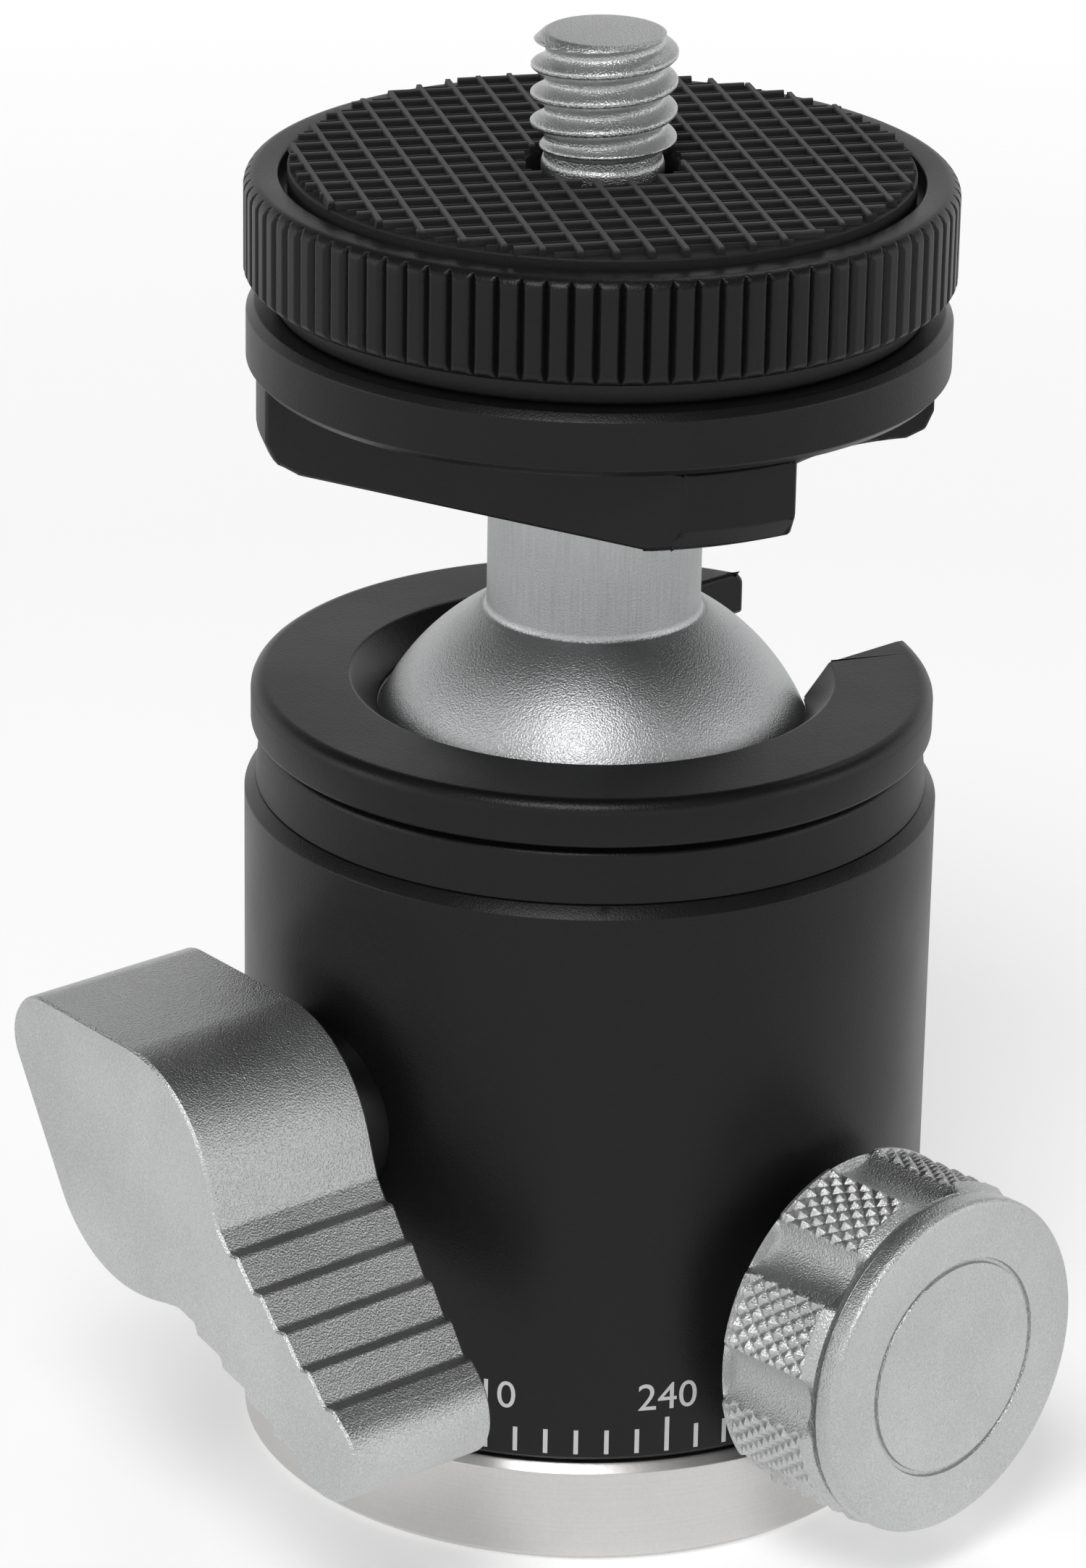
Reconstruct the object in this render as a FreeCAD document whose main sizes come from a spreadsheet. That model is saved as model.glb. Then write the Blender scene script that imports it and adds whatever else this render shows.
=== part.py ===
import FreeCAD, Part
import math
import os

import Sketcher
from FreeCAD import Placement, Rotation, Vector

doc = FreeCAD.newDocument("tripod_ball_head")
sheet = doc.addObject("Spreadsheet::Sheet", "Sizes")

UP = Vector(0, 0, 1)
LEAST_CUT = 0.01


class Size:
    """A length that keeps its spreadsheet expression beside its value."""

    def __init__(self, text, value):
        self.text = text
        self.value = value

    def __add__(self, other):
        other = as_size(other)
        return Size(f"({self.text} + {other.text})", self.value + other.value)

    def __sub__(self, other):
        other = as_size(other)
        return Size(f"({self.text} - {other.text})", self.value - other.value)

    def __mul__(self, other):
        other = as_size(other)
        return Size(f"({self.text} * {other.text})", self.value * other.value)

    def __truediv__(self, other):
        other = as_size(other)
        return Size(f"({self.text} / {other.text})", self.value / other.value)


def as_size(number):
    return number if isinstance(number, Size) else Size(repr(float(number)), float(number))


def size(alias, value):
    """One driving dimension: a plain number in a cell that has an alias."""
    size.rows += 1
    cell = f"B{size.rows}"
    sheet.set(f"A{size.rows}", alias.replace("_", " "))
    sheet.set(cell, str(value))
    sheet.setAlias(cell, alias)
    return Size(f"Sizes.{alias}", float(value))


size.rows = 0

# Overall and body sizes
body_radius = size("body_radius", 15.5)
base_height = size("base_height", 4.8)
base_edge = size("base_edge", 0.4)
housing_rise = size("housing_rise", 26.8)
floor_rise = size("floor_rise", 10.4)
pan_gap = size("pan_gap", 0.2)
body_edge = size("body_edge", 0.45)
cap_bore_depth = size("cap_bore_depth", 4.2)
cap_wall = size("cap_wall", 1.2)

# Fits
running_fit = size("running_fit", 0.05)
loose_gap = size("loose_gap", 0.3)

# Base and pivot
spindle_room = size("spindle_room", 4.8)
spindle_reach = size("spindle_reach", 1.7)
keeper_reach = size("keeper_reach", 2.2)
bearing_wall = size("bearing_wall", 0.9)
socket_radius = size("socket_radius", 4.7625)
socket_depth = size("socket_depth", 9.0)
tripod_thread_radius = size("tripod_thread_radius", 3.175)
bushing_length = size("bushing_length", 7.5)
washer_thickness = size("washer_thickness", 0.8)
pan_washer_radius = size("pan_washer_radius", 13.6)
clip_groove_depth = size("clip_groove_depth", 0.7)
clip_thickness = size("clip_thickness", 0.6)
clip_width = size("clip_width", 2.0)
clip_opening = size("clip_opening", 5.0)
keeper_thickness = size("keeper_thickness", 0.4)

# Ball, cup and seats
ball_radius = size("ball_radius", 10.5)
ball_sink = size("ball_sink", 1.2)
cavity_room = size("cavity_room", 2.3)
stem_radius = size("stem_radius", 4.75)
stem_pin_radius = size("stem_pin_radius", 3.5)
stem_pin_length = size("stem_pin_length", 2.9)
shoulder_height = size("shoulder_height", 0.45)
cup_height = size("cup_height", 2.5)
seat_inset = size("seat_inset", 0.8)
seat_lift = size("seat_lift", 1.5)
ring_lift = size("ring_lift", 2.1)
spring_sheet = size("spring_sheet", 0.5)
spring_gap = size("spring_gap", 0.55)

# Collar cap
flange_inset = size("flange_inset", 0.3)
neck_inset = size("neck_inset", 0.75)
flange_height = size("flange_height", 2.1)
flange_round = size("flange_round", 0.9)
neck_groove = size("neck_groove", 0.35)
mouth_room = size("mouth_room", 0.3)
lip_height = size("lip_height", 1.4)
notch_width = size("notch_width", 10.9)
notch_azimuth = size("notch_azimuth", 40)
set_screw_radius = size("set_screw_radius", 1.0)
set_screw_length = size("set_screw_length", 1.9)
set_screw_azimuth = size("set_screw_azimuth", 150)

# Ball lock
lock_azimuth = size("lock_azimuth", 219)
lock_rise = size("lock_rise", 14.7)
lever_gap = size("lever_gap", 1.5)
lever_thickness = size("lever_thickness", 9.0)
hub_radius = size("hub_radius", 5.8)
tail_length = size("tail_length", 16.2)
tail_tip_radius = size("tail_tip_radius", 2.1)
tail_root_radius = size("tail_root_radius", 3.0)
ear_length = size("ear_length", 7.4)
ear_tip_radius = size("ear_tip_radius", 2.2)
lever_angle = size("lever_angle", -30)
rib_radius = size("rib_radius", 0.55)
rib_pitch = size("rib_pitch", 1.85)
lever_edge = size("lever_edge", 0.5)
lock_screw_radius = size("lock_screw_radius", 3.0)
lock_tip_radius = size("lock_tip_radius", 2.0)
lock_tip_inset = size("lock_tip_inset", 0.75)
lock_bore_depth = size("lock_bore_depth", 6.0)
boss_radius = size("boss_radius", 4.4)
RIB_COUNT = 6

# Panning lock
pan_azimuth = size("pan_azimuth", 313.5)
pan_rise = size("pan_rise", 5.8)
pan_knob_gap = size("pan_knob_gap", 1.0)
pan_knob_length = size("pan_knob_length", 6.7)
pan_knob_radius = size("pan_knob_radius", 7.95)
pan_rim_radius = size("pan_rim_radius", 7.75)
pan_rim_length = size("pan_rim_length", 1.2)
scallop_radius = size("scallop_radius", 2.1)
scallop_depth = size("scallop_depth", 0.75)
face_circle_radius = size("face_circle_radius", 4.95)
face_groove = size("face_groove", 0.3)
pan_screw_radius = size("pan_screw_radius", 2.5)
pan_bore_depth = size("pan_bore_depth", 4.0)
pan_collar_radius = size("pan_collar_radius", 4.6)
shoe_travel = size("shoe_travel", 0.35)
shoe_length = size("shoe_length", 2.4)
shoe_gap = size("shoe_gap", 0.2)
SCALLOP_COUNT = 8

# Head
stem_reach = size("stem_reach", 16.8)
block_height = size("block_height", 3.8)
block_radius = size("block_radius", 14.95)
block_edge = size("block_edge", 1.2)
block_flat = size("block_flat", 10.8)
block_flat_azimuth = size("block_flat_azimuth", 239)
scallop_bore = size("scallop_bore", 9.5)
scallop_place = size("scallop_place", 18.3)
scallop_azimuth = size("scallop_azimuth", 334)
disc_radius = size("disc_radius", 15.4)
disc_height = size("disc_height", 2.8)
disc_edge = size("disc_edge", 0.35)
spacer_radius = size("spacer_radius", 14.2)
spacer_height = size("spacer_height", 1.2)
wheel_radius = size("wheel_radius", 15.5)
wheel_height = size("wheel_height", 4.6)
wheel_edge = size("wheel_edge", 0.35)
knurl_depth = size("knurl_depth", 0.32)
pad_recess_radius = size("pad_recess_radius", 13.95)
pad_radius = size("pad_radius", 13.6)
pad_recess_depth = size("pad_recess_depth", 0.9)
pad_proud = size("pad_proud", 0.7)
pad_hole_radius = size("pad_hole_radius", 3.9)
screw_radius = size("screw_radius", 3.175)
screw_reach = size("screw_reach", 6.3)
screw_edge = size("screw_edge", 0.55)
shank_relief = size("shank_relief", 0.5)
screw_head_radius = size("screw_head_radius", 6.0)
screw_head_height = size("screw_head_height", 1.6)
joint_screw_circle = size("joint_screw_circle", 9.1)
joint_screw_radius = size("joint_screw_radius", 1.25)
joint_head_radius = size("joint_head_radius", 2.2)
joint_head_height = size("joint_head_height", 1.2)
joint_screw_depth = size("joint_screw_depth", 2.8)
KNURL_COUNT = 92
JOINT_SCREW_COUNT = 3
LAND_SHARE = 0.62

# Places on the ball, as shares of its radius
CUP_DEPTH = 0.724
CAP_RISE = 0.5715
THROAT_REACH = 0.9
RING_BORE = 0.843
STEM_JUNCTION = 0.885
SEAT_BORE = 0.8
CUP_BORE = 0.6

doc.recompute()

# Heights that follow from the driving dimensions
housing_bottom = base_height + pan_gap
housing_top = base_height + housing_rise
floor_top = base_height + floor_rise
lock_height = base_height + lock_rise
pan_height = base_height + pan_rise
spindle_top = floor_top + spindle_reach
clip_bottom = floor_top + keeper_thickness
ball_height = housing_top - ball_sink
cap_top = ball_height + ball_radius * CAP_RISE
lip_bottom = cap_top - lip_height
flange_bottom = cap_top - flange_height
cap_skirt_bottom = housing_top - cap_bore_depth
set_screw_height = (housing_top + flange_bottom) / 2
seat_bottom = ball_height + seat_lift
seat_top = lip_bottom - running_fit * 2
cup_bottom = ball_height - ball_radius * CUP_DEPTH
ring_bottom = floor_top + ring_lift
spring_top = ring_bottom - spring_gap
block_bottom = ball_height + stem_reach
disc_bottom = block_bottom + block_height
disc_top = disc_bottom + disc_height
wheel_bottom = disc_top + spacer_height
wheel_top = wheel_bottom + wheel_height
pad_bottom = wheel_top - pad_recess_depth
thread_bottom = wheel_top + pad_proud + running_fit
screw_top = wheel_top + screw_reach

# Radii that follow from the driving dimensions
cavity_radius = ball_radius + cavity_room
guide_radius = cavity_radius - running_fit
cap_skirt_radius = cavity_radius + cap_wall
seat_radius = cavity_radius - seat_inset
seat_sphere = ball_radius + running_fit
throat_radius = ball_radius * THROAT_REACH
mouth_radius = ball_radius + mouth_room
flange_radius = body_radius - flange_inset
neck_radius = body_radius - neck_inset
notch_depth = notch_width / 2
ring_bore = ball_radius * RING_BORE
spindle_radius = cavity_radius - spindle_room
bearing_radius = spindle_radius + running_fit + bearing_wall
keeper_radius = spindle_radius + keeper_reach
lever_start = body_radius + lever_gap
lock_screw_inner = cavity_radius + loose_gap
lock_tip_inner = ring_bore + lock_tip_inset
pan_knob_start = body_radius + pan_knob_gap
shoe_start = spindle_radius + running_fit + shoe_travel
pan_screw_inner = shoe_start + shoe_length + shoe_gap


def direction(azimuth, lift=0.0):
    """The unit vector at an azimuth in the plan, raised by lift degrees."""
    turn = math.radians(azimuth)
    rise = math.radians(lift)
    return Vector(math.cos(turn) * math.cos(rise), math.sin(turn) * math.cos(rise), math.sin(rise))


def bind(item, name, length):
    item.setExpression(name, as_size(length).text)


def cylinder(name, radius, bottom, top):
    """An upright cylinder on the body's axis."""
    item = doc.addObject("Part::Cylinder", name)
    bind(item, "Radius", radius)
    bind(item, "Height", as_size(top) - bottom)
    bind(item, "Placement.Base.z", bottom)
    return item


def ball(name, radius, height):
    """A full sphere centred on the body's axis."""
    item = doc.addObject("Part::Sphere", name)
    bind(item, "Radius", radius)
    bind(item, "Placement.Base.z", height)
    return item


def rod(name, radius, start, end, azimuth, height):
    """A cylinder that lies along a radius of the body, from start to end."""
    item = doc.addObject("Part::Cylinder", name)
    bind(item, "Radius", radius)
    bind(item, "Height", as_size(end) - start)
    way = direction(azimuth.value)
    place = way * as_size(start).value + UP * height.value
    item.Placement = Placement(place, Rotation(UP, way))
    return item


def wall_slot(name, width, depth, bottom, top, azimuth):
    """A box that runs out from the body's axis along an azimuth."""
    item = doc.addObject("Part::Box", name)
    bind(item, "Length", depth)
    bind(item, "Width", width)
    bind(item, "Height", as_size(top) - bottom)
    turn = Rotation(UP, azimuth.value)
    corner = turn.multVec(Vector(0, -as_size(width).value / 2, 0))
    item.Placement = Placement(corner + UP * as_size(bottom).value, turn)
    return item


def fused(name, items):
    item = doc.addObject("Part::MultiFuse", name)
    item.Shapes = items
    return item


def cut(name, base, tool):
    item = doc.addObject("Part::Cut", name)
    item.Base = base
    item.Tool = tool
    cut.made.append(item)
    return item


cut.made = []


def common(name, base, tool):
    item = doc.addObject("Part::Common", name)
    item.Base = base
    item.Tool = tool
    return item


def origin_plane(body, role):
    return next(item for item in body.Origin.OriginFeatures if item.Role == role)


def turned(name, outline):
    """A body of revolution about the upright axis; outline lists (radius, height) corners."""
    body = doc.addObject("PartDesign::Body", name)
    sketch = body.newObject("Sketcher::SketchObject", name + "_profile")
    sketch.AttachmentSupport = [(origin_plane(body, "XZ_Plane"), "")]
    sketch.MapMode = "FlatFace"
    sizes = [(as_size(radius), as_size(height)) for radius, height in outline]
    corners = [Vector(radius.value, height.value, 0) for radius, height in sizes]
    count = len(corners)
    for index in range(count):
        line = Part.LineSegment(corners[index], corners[(index + 1) % count])
        sketch.addGeometry(line, False)
    for index in range(count):
        following = (index + 1) % count
        sketch.addConstraint(Sketcher.Constraint("Coincident", index, 2, following, 1))
    for index, (radius, height) in enumerate(sizes):
        across = Sketcher.Constraint("DistanceX", -1, 1, index, 1, radius.value)
        number = sketch.addConstraint(across)
        sketch.renameConstraint(number, f"radius_{index}")
        sketch.setExpression(f"Constraints.radius_{index}", radius.text)
        rise = Sketcher.Constraint("DistanceY", -1, 1, index, 1, height.value)
        number = sketch.addConstraint(rise)
        sketch.renameConstraint(number, f"height_{index}")
        sketch.setExpression(f"Constraints.height_{index}", height.text)
    revolution = body.newObject("PartDesign::Revolution", name + "_turned")
    revolution.Profile = sketch
    revolution.ReferenceAxis = (sketch, ["V_Axis"])
    revolution.Angle = 360
    body.Tip = revolution
    return body


def edges_at(shape, radius, height):
    """Names of the circular edges of one radius at one height."""
    found = []
    for index, edge in enumerate(shape.Edges):
        curve = edge.Curve
        if not isinstance(curve, Part.Circle):
            continue
        if abs(curve.Radius - radius) > 0.01:
            continue
        if abs(edge.Vertexes[0].Point.z - height) < 0.01:
            found.append(f"Edge{index + 1}")
    return found


def rounded(body, radius, height, fillet):
    """Rounds one circular edge of a turned body."""
    doc.recompute()
    before = body.Tip
    feature = body.newObject("PartDesign::Fillet", body.Name + "_round")
    feature.Base = (before, edges_at(before.Shape, radius.value, height.value))
    bind(feature, "Radius", fillet)
    body.Tip = feature
    return body


def panning_base():
    """The silver foot with the spindle that the housing turns on."""
    groove_radius = spindle_radius - clip_groove_depth
    groove_top = clip_bottom + clip_thickness + running_fit
    blank = turned("base_blank", [
        (socket_radius, 0),
        (body_radius - base_edge, 0),
        (body_radius, base_edge),
        (body_radius, base_height - base_edge),
        (body_radius - base_edge, base_height),
        (spindle_radius, base_height),
        (spindle_radius, clip_bottom),
        (groove_radius, clip_bottom),
        (groove_radius, groove_top),
        (spindle_radius, groove_top),
        (spindle_radius, spindle_top - base_edge),
        (spindle_radius - base_edge, spindle_top),
        (0, spindle_top),
        (0, socket_depth),
        (socket_radius, socket_depth),
    ])
    return blank


def thread_bushing():
    """The reducing bush in the foot, with the tripod's smaller thread."""
    outer = socket_radius - running_fit
    return turned("bushing_blank", [
        (tripod_thread_radius, 0),
        (outer, 0),
        (outer, bushing_length),
        (tripod_thread_radius, bushing_length),
    ])


def ring(name, inner, outer, bottom, top):
    """A plain flat ring."""
    return turned(name, [(inner, bottom), (outer, bottom), (outer, top), (inner, top)])


def pivot_bearing():
    """The plain bush round the spindle, drilled for the panning shoe."""
    sleeve = ring("bearing_ring", spindle_radius + running_fit, bearing_radius,
                  base_height + washer_thickness, floor_top)
    hole = rod("bearing_hole", pan_screw_radius + running_fit, spindle_radius / 2,
               bearing_radius + loose_gap, pan_azimuth, pan_height)
    return cut("bearing_cut", sleeve, hole)


def pivot_clip():
    """The open circlip in the spindle's groove."""
    inner = spindle_radius - clip_groove_depth + running_fit
    outer = inner + clip_width
    whole = ring("clip_ring", inner, outer, clip_bottom, clip_bottom + clip_thickness)
    bottom = clip_bottom - loose_gap
    top = clip_bottom + clip_thickness + loose_gap
    gap = wall_slot("clip_gap", clip_opening, outer + loose_gap, bottom, top, set_screw_azimuth)
    return cut("clip_cut", whole, gap)


def housing():
    """The black body: bearing bore, cavity for the ball and the seat of the cap."""
    washer_top = base_height + washer_thickness
    washer_recess = pan_washer_radius + loose_gap
    blank = turned("housing_blank", [
        (bearing_radius, washer_top),
        (washer_recess, washer_top),
        (washer_recess, housing_bottom),
        (body_radius - body_edge / 2, housing_bottom),
        (body_radius, housing_bottom + body_edge / 2),
        (body_radius, housing_top - body_edge),
        (body_radius - body_edge, housing_top),
        (cap_skirt_radius + running_fit, housing_top),
        (cap_skirt_radius + running_fit, cap_skirt_bottom),
        (cavity_radius, cap_skirt_bottom),
        (cavity_radius, floor_top),
        (bearing_radius, floor_top),
    ])
    reach = body_radius + loose_gap
    lock_bore = rod("lock_bore", lock_screw_radius + running_fit, spindle_radius + loose_gap * 6,
                    reach, lock_azimuth, lock_height)
    pan_bore = rod("pan_bore", pan_screw_radius + running_fit, spindle_radius / 2,
                   reach, pan_azimuth, pan_height)
    bored = cut("housing_bored", blank, fused("housing_bores", [lock_bore, pan_bore]))
    return cut("housing_cut", bored, drop_notch("housing_notch"))


def drop_notch(name):
    """The U-shaped slot that the stem drops into."""
    slot = wall_slot(name + "_slot", notch_width, body_radius * 2, ball_height,
                     cap_top + ball_radius, notch_azimuth)
    round_end = rod(name + "_end", notch_depth, 0, body_radius * 2, notch_azimuth, ball_height)
    return fused(name, [slot, round_end])


def collar_cap():
    """The screwed-on collar that holds the ball down, with its drop notch."""
    groove_bottom = flange_bottom - neck_groove
    seat_bore = seat_radius + running_fit
    blank = turned("cap_blank", [
        (cavity_radius, cap_skirt_bottom + running_fit),
        (cap_skirt_radius, cap_skirt_bottom + running_fit),
        (cap_skirt_radius, housing_top),
        (body_radius - body_edge, housing_top),
        (neck_radius, groove_bottom),
        (neck_radius - neck_groove, groove_bottom + neck_groove / 2),
        (neck_radius - neck_groove, flange_bottom),
        (flange_radius, flange_bottom),
        (flange_radius, cap_top),
        (mouth_radius, cap_top),
        (throat_radius, lip_bottom),
        (seat_bore, lip_bottom),
        (seat_bore, seat_bottom - running_fit),
        (cavity_radius, seat_bottom - running_fit),
    ])
    rounded(blank, flange_radius, cap_top, flange_round)
    opened = cut("cap_opened", blank, ball("cap_sphere", ball_radius + running_fit * 2, ball_height))
    notched = cut("cap_notched", opened, drop_notch("cap_notch"))
    hole_start = cap_skirt_radius - cap_wall * 0.75
    hole = rod("cap_screw_hole", set_screw_radius + running_fit, hole_start, body_radius,
               set_screw_azimuth, set_screw_height)
    return cut("cap_cut", notched, hole)


def cap_set_screw():
    """The grub screw that keeps the collar from turning."""
    start = cap_skirt_radius - cap_wall * 0.75 + running_fit
    screw = rod("set_screw_body", set_screw_radius, start, start + set_screw_length - cap_wall,
                set_screw_azimuth, set_screw_height)
    return screw


def upper_seat():
    """The split plastic ring that bears on the upper part of the ball."""
    inner = ball_radius * SEAT_BORE
    blank = ring("seat_blank", inner, seat_radius, seat_bottom, seat_top)
    seated = cut("seat_seated", blank, ball("seat_sphere", seat_sphere, ball_height))
    return cut("seat_cut", seated, drop_notch("seat_notch"))


def ball_cup():
    """The lower cup that the ball sits in."""
    inner = ball_radius * CUP_BORE
    blank = ring("cup_blank", inner, guide_radius, cup_bottom, cup_bottom + cup_height)
    return cut("cup_cut", blank, ball("cup_sphere", seat_sphere, ball_height))


def pressure_ring():
    """The ring that the lock screw's tip lifts against the cup."""
    blank = ring("ring_blank", ring_bore, guide_radius, ring_bottom, cup_bottom)
    hole = rod("ring_hole", lock_tip_radius + loose_gap * 2, spindle_radius, cavity_radius,
               lock_azimuth, lock_height)
    return cut("ring_cut", blank, hole)


def lift_spring():
    """The coned spring washer under the pressure ring."""
    outer = guide_radius - loose_gap
    inner = keeper_radius + running_fit
    return turned("spring_blank", [
        (outer - spring_sheet, floor_top),
        (outer, floor_top),
        (inner + spring_sheet, spring_top),
        (inner, spring_top),
    ])


def ball_stem():
    """The ball, its stem with a bright shoulder, and the pin that the block turns on."""
    junction = ball_height + ball_radius * STEM_JUNCTION
    shaft = turned("stem_blank", [
        (0, ball_height),
        (stem_radius, ball_height),
        (stem_radius, junction),
        (stem_radius - running_fit * 2, junction + shoulder_height / 2),
        (stem_radius, junction + shoulder_height),
        (stem_radius, block_bottom),
        (stem_pin_radius, block_bottom),
        (stem_pin_radius, block_bottom + stem_pin_length),
        (0, block_bottom + stem_pin_length),
    ])
    return fused("stem_fused", [ball("ball_sphere", ball_radius, ball_height), shaft])


def lever_outline(start):
    """The closed outline of the lever in its own plane, centred on the hub."""
    hub = hub_radius.value
    tail = tail_length.value
    tip = tail_tip_radius.value
    root = tail_root_radius.value
    ear = ear_length.value
    ear_tip = ear_tip_radius.value
    root_at = math.sqrt(hub ** 2 - root ** 2)
    ear_lean = math.acos((hub - ear_tip) / ear)
    away = math.pi - ear_lean
    hub_ear = Vector(hub * math.cos(away), hub * math.sin(away), start)
    tip_ear = Vector(-ear + ear_tip * math.cos(away), ear_tip * math.sin(away), start)

    def mirrored(point):
        return Vector(point.x, -point.y, point.z)

    tail_root = Vector(root_at, root, start)
    tail_end = Vector(tail, tip, start)
    edges = [
        Part.LineSegment(tail_root, tail_end).toShape(),
        Part.Arc(tail_end, Vector(tail + tip, 0, start), mirrored(tail_end)).toShape(),
        Part.LineSegment(mirrored(tail_end), mirrored(tail_root)).toShape(),
        Part.Arc(mirrored(tail_root), Vector(0, -hub, start), mirrored(hub_ear)).toShape(),
        Part.LineSegment(mirrored(hub_ear), mirrored(tip_ear)).toShape(),
        Part.Arc(mirrored(tip_ear), Vector(-ear - ear_tip, 0, start), tip_ear).toShape(),
        Part.LineSegment(tip_ear, hub_ear).toShape(),
        Part.Arc(hub_ear, Vector(0, hub, start), tail_root).toShape(),
    ]
    return Part.Wire(edges)


def lock_lever():
    """The asymmetric lever knob: round hub, ribbed tail and short ear."""
    thickness = lever_thickness.value
    blank = Part.Face(lever_outline(0)).extrude(UP * thickness)
    rims = [edge for edge in blank.Edges if abs(edge.BoundBox.ZMax - edge.BoundBox.ZMin) < 0.01]
    solid = blank.makeChamfer(min(lever_edge.value, thickness / 4), rims)
    tools = [Part.makeCylinder(lock_screw_radius.value + running_fit.value, lock_bore_depth.value)]
    taper = (tail_root_radius.value - tail_tip_radius.value) / tail_length.value
    for index in range(RIB_COUNT):
        along = tail_length.value - rib_pitch.value * (index + 1)
        half = tail_tip_radius.value + taper * rib_pitch.value * (index + 1)
        for side in (-1, 1):
            place = Vector(along, side * (half + rib_radius.value * 0.35), 0)
            tools.append(Part.makeCylinder(rib_radius.value, thickness, place))
    solid = solid.cut(tools)
    item = doc.addObject("Part::Feature", "lever_solid")
    item.Shape = solid
    way = direction(lock_azimuth.value)
    right = direction(lock_azimuth.value + 90)
    swing = math.radians(lever_angle.value)
    along = right * math.cos(swing) + UP * math.sin(swing)
    item.Placement = Placement(
        way * lever_start.value + UP * lock_height.value,
        Rotation(along, way.cross(along), way, "XYZ"),
    )
    return item


def lock_screw():
    """The lock screw with its narrow tip, pressed into the lever's hub."""
    shank_end = lever_start + lock_bore_depth - loose_gap
    shank = rod("lock_shank", lock_screw_radius, lock_screw_inner, shank_end, lock_azimuth, lock_height)
    tip = rod("lock_tip", lock_tip_radius, lock_tip_inner, lock_screw_inner, lock_azimuth, lock_height)
    return fused("lock_screw_fused", [shank, tip])


def side_boss(name, outer, bore, end, azimuth, height):
    """A collar round a side screw, between the body's wall and the knob."""
    start = body_radius - outer * outer / (body_radius * 2) - loose_gap
    blank = rod(name + "_blank", outer, start, end, azimuth, height)
    hole = rod(name + "_hole", bore + running_fit, start, end, azimuth, height)
    bored = cut(name + "_bored", blank, hole)
    return cut(name + "_cut", bored, cylinder(name + "_wall", body_radius, 0, cap_top))


def pan_knob():
    """The small round knob of the panning lock, with scallops and a stepped face."""
    start = pan_knob_start
    end = pan_knob_start + pan_knob_length
    grip_end = end - pan_rim_length
    grip = rod("pan_grip", pan_knob_radius, start, grip_end, pan_azimuth, pan_height)
    rim = rod("pan_rim", pan_rim_radius, grip_end, end, pan_azimuth, pan_height)
    knob = fused("pan_fused", [grip, rim])
    way = direction(pan_azimuth.value)
    side = direction(pan_azimuth.value + 90)
    reach = pan_knob_radius.value + scallop_radius.value - scallop_depth.value
    tools = []
    for index in range(SCALLOP_COUNT):
        turn = 2 * math.pi * index / SCALLOP_COUNT
        scallop = rod(f"pan_scallop_{index}", scallop_radius, start, grip_end, pan_azimuth, pan_height)
        offset = side * (reach * math.cos(turn)) + UP * (reach * math.sin(turn))
        scallop.Placement = Placement(scallop.Placement.Base + offset, Rotation(UP, way))
        tools.append(scallop)
    tools.append(rod("pan_knob_bore", pan_screw_radius + running_fit, start,
                     start + pan_bore_depth, pan_azimuth, pan_height))
    outer = rod("face_outer", face_circle_radius + face_groove / 2, end - face_groove, end,
                pan_azimuth, pan_height)
    inner = rod("face_inner", face_circle_radius - face_groove / 2, end - face_groove, end,
                pan_azimuth, pan_height)
    tools.append(cut("face_ring", outer, inner))
    return cut("pan_knob_cut", knob, fused("pan_tools", tools))


def pan_screw():
    """The panning lock's screw."""
    end = pan_knob_start + pan_bore_depth - loose_gap
    return rod("pan_shank", pan_screw_radius, pan_screw_inner, end, pan_azimuth, pan_height)


def pan_shoe():
    """The soft shoe that the panning screw presses on the spindle."""
    blank = rod("shoe_blank", pan_screw_radius, spindle_radius / 2, shoe_start + shoe_length,
                pan_azimuth, pan_height)
    hollow = cylinder("shoe_hollow", shoe_start, 0, cap_top)
    return cut("shoe_cut", blank, hollow)


def stem_block():
    """The puck under the disc, with a flat, a round relief and a rounded lower edge."""
    blank = turned("block_blank", [
        (stem_pin_radius + running_fit, block_bottom),
        (block_radius - block_edge, block_bottom),
        (block_radius - block_edge * 0.3, block_bottom + block_edge * 0.3),
        (block_radius, block_bottom + block_edge),
        (block_radius, disc_bottom),
        (stem_pin_radius + running_fit, disc_bottom),
    ])
    below = block_bottom - loose_gap
    above = disc_bottom + loose_gap
    front = flat_tool("block_front", block_flat, below, above, block_flat_azimuth)
    right = cylinder("block_scallop", scallop_bore, below, above)
    right.Placement.Base = direction(scallop_azimuth.value) * scallop_place.value + UP * below.value
    trimmed = cut("block_trimmed", blank, fused("block_relief", [front, right]))
    return cut("block_cut", trimmed, joint_screw_holes("block"))


def flat_tool(name, distance, bottom, top, azimuth):
    """A box that trims a turned piece to a flat at a distance from the axis."""
    width = block_radius * 3
    item = wall_slot(name, width, block_radius, bottom, top, azimuth)
    item.Placement = Placement(
        item.Placement.Base + direction(azimuth.value) * distance.value, item.Placement.Rotation
    )
    return item


def joint_screw_places():
    for index in range(JOINT_SCREW_COUNT):
        azimuth = 360.0 * index / JOINT_SCREW_COUNT + block_flat_azimuth.value - 180
        yield index, direction(azimuth) * joint_screw_circle.value


def joint_screws():
    """The three screws that hold the disc on the block."""
    screws = []
    for index, place in joint_screw_places():
        head_bottom = disc_top - joint_head_height - running_fit
        head = cylinder(f"joint_head_{index}", joint_head_radius, head_bottom, disc_top - running_fit)
        shank = cylinder(f"joint_shank_{index}", joint_screw_radius, disc_bottom - joint_screw_depth,
                         head_bottom)
        screw = fused(f"joint_screw_{index}", [head, shank])
        screw.Placement.Base = place
        screws.append(screw)
    group = doc.addObject("Part::Compound", "joint_screw_group")
    group.Links = screws
    return group


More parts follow.
